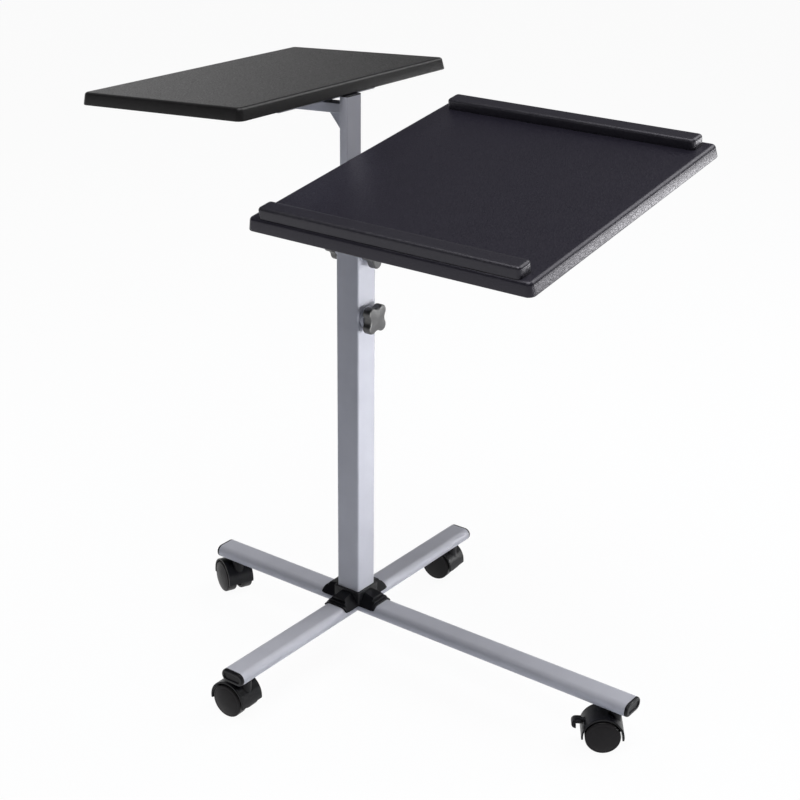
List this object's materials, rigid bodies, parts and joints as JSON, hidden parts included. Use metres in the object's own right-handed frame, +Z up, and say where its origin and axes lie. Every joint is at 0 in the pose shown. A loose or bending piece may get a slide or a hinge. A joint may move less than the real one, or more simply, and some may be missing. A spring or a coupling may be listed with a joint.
{
  "type": "projector cart",
  "caption": "Rolling projector cart with a cross base on hooded casters, a clamped telescoping post, a tilting lipped board and a smaller upper board.",
  "frame": {"origin": "bottom centre of the cart's bounding box, on the floor", "axes": "+Z up, +X along the long base arm towards the main board's free side, +Y towards the raised back edge of the main board"},
  "size_m": [0.782, 0.565, 0.8676],
  "materials": {
    "silver_paint": "satin powder coat",
    "black_plastic": "moulded satin",
    "knob_plastic": "moulded satin",
    "wheel_plastic": "smooth disc",
    "upper_board_foil": "fine grained black foil",
    "main_board_foil": "fine grained black foil",
    "lip_foil": "fine grained black foil",
    "black_paint": "satin black",
    "plated_steel": "zinc plated"
  },
  "bodies": {
    "base": {"long_base_tube": "silver_paint", "left_base_tube": "silver_paint", "right_base_tube": "silver_paint", "tube_end_plugs": "black_plastic", "saddle_cover": "black_plastic", "main_post": "silver_paint", "clamp_bosses": "silver_paint", "post_guide": "black_plastic", "caster_stems": "plated_steel"},
    "low_knob": {"low_clamp_knob": "knob_plastic"},
    "high_knob": {"high_clamp_knob": "knob_plastic"},
    "rear_knob": {"rear_clamp_knob": "knob_plastic"},
    "upper_carrier": {"upper_post": "silver_paint", "upper_post_cap": "black_plastic", "upper_arm": "silver_paint", "upper_gusset": "silver_paint", "upper_rails": "silver_paint", "upper_board": "upper_board_foil"},
    "board_carrier": {"board_post": "silver_paint", "hinge_bar": "silver_paint"},
    "tilting_board": {"tilt_brackets": "black_paint", "main_board": "main_board_foil", "front_lip": "lip_foil", "back_lip": "lip_foil"},
    "front_caster": {"front_caster_hood": "black_plastic", "front_caster_axle": "plated_steel"},
    "front_wheel_a": {"front_wheel_a": "wheel_plastic"},
    "front_wheel_b": {"front_wheel_b": "wheel_plastic"},
    "rear_caster": {"rear_caster_hood": "black_plastic", "rear_caster_axle": "plated_steel"},
    "rear_wheel_a": {"rear_wheel_a": "wheel_plastic"},
    "rear_wheel_b": {"rear_wheel_b": "wheel_plastic"},
    "left_caster": {"left_caster_hood": "black_plastic", "left_caster_axle": "plated_steel"},
    "left_wheel_a": {"left_wheel_a": "wheel_plastic"},
    "left_wheel_b": {"left_wheel_b": "wheel_plastic"},
    "right_caster": {"right_caster_hood": "black_plastic", "right_caster_axle": "plated_steel"},
    "right_wheel_a": {"right_wheel_a": "wheel_plastic"},
    "right_wheel_b": {"right_wheel_b": "wheel_plastic"},
    "brake": {"brake_pedal": "black_plastic"}
  },
  "joints": [
    {"name": "low_knob_turn", "type": "hinge", "parent": "base", "child": "low_knob", "pos_m": [-0.06353, 0, 0.537], "axis": [1, 0, 0], "continuous": true},
    {"name": "high_knob_turn", "type": "hinge", "parent": "base", "child": "high_knob", "pos_m": [-0.06353, 0, 0.636], "axis": [1, 0, 0], "continuous": true},
    {"name": "rear_knob_turn", "type": "hinge", "parent": "base", "child": "rear_knob", "pos_m": [-0.12353, 0, 0.636], "axis": [-1, 0, 0], "continuous": true},
    {"name": "upper_board_height", "type": "slide", "parent": "base", "child": "upper_carrier", "axis": [0, 0, 1], "range_m": [-0.112, 0.1]},
    {"name": "main_board_height", "type": "slide", "parent": "base", "child": "board_carrier", "axis": [0, 0, 1], "range_m": [-0.034, 0.1]},
    {"name": "main_board_tilt", "type": "hinge", "parent": "board_carrier", "child": "tilting_board", "pos_m": [0.08647, 0, 0.724], "axis": [1, 0, 0], "range_deg": [-29, 15]},
    {"name": "front_caster_swivel", "type": "hinge", "parent": "base", "child": "front_caster", "pos_m": [0.36347, 0, 0.055], "axis": [0, 0, 1], "continuous": true},
    {"name": "front_wheel_a_roll", "type": "hinge", "parent": "front_caster", "child": "front_wheel_a", "pos_m": [0.34938, -0.00951, 0.025], "axis": [0.5592, -0.829, 0], "continuous": true},
    {"name": "front_wheel_b_roll", "type": "hinge", "parent": "front_caster", "child": "front_wheel_b", "pos_m": [0.34938, -0.00951, 0.025], "axis": [0.5592, -0.829, 0], "continuous": true},
    {"name": "rear_caster_swivel", "type": "hinge", "parent": "base", "child": "rear_caster", "pos_m": [-0.33753, 0, 0.055], "axis": [0, 0, 1], "continuous": true},
    {"name": "rear_wheel_a_roll", "type": "hinge", "parent": "rear_caster", "child": "rear_wheel_a", "pos_m": [-0.35306, 0.00692, 0.025], "axis": [-0.4067, -0.9135, 0], "continuous": true},
    {"name": "rear_wheel_b_roll", "type": "hinge", "parent": "rear_caster", "child": "rear_wheel_b", "pos_m": [-0.35306, 0.00692, 0.025], "axis": [-0.4067, -0.9135, 0], "continuous": true},
    {"name": "left_caster_swivel", "type": "hinge", "parent": "base", "child": "left_caster", "pos_m": [-0.09353, -0.255, 0.055], "axis": [0, 0, 1], "continuous": true},
    {"name": "left_wheel_a_roll", "type": "hinge", "parent": "left_caster", "child": "left_wheel_a", "pos_m": [-0.11053, -0.2553, 0.025], "axis": [0.0175, -0.9998, 0], "continuous": true},
    {"name": "left_wheel_b_roll", "type": "hinge", "parent": "left_caster", "child": "left_wheel_b", "pos_m": [-0.11053, -0.2553, 0.025], "axis": [0.0175, -0.9998, 0], "continuous": true},
    {"name": "right_caster_swivel", "type": "hinge", "parent": "base", "child": "right_caster", "pos_m": [-0.09353, 0.255, 0.055], "axis": [0, 0, 1], "continuous": true},
    {"name": "right_wheel_a_roll", "type": "hinge", "parent": "right_caster", "child": "right_wheel_a", "pos_m": [-0.11049, 0.25381, 0.025], "axis": [0.0698, -0.9976, 0], "continuous": true},
    {"name": "right_wheel_b_roll", "type": "hinge", "parent": "right_caster", "child": "right_wheel_b", "pos_m": [-0.11049, 0.25381, 0.025], "axis": [0.0698, -0.9976, 0], "continuous": true},
    {"name": "brake_pedal_press", "type": "hinge", "parent": "front_caster", "child": "brake", "pos_m": [0.32923, -0.02309, 0.04018], "axis": [0.5592, -0.829, 0], "range_deg": [0, 14]}
  ]
}
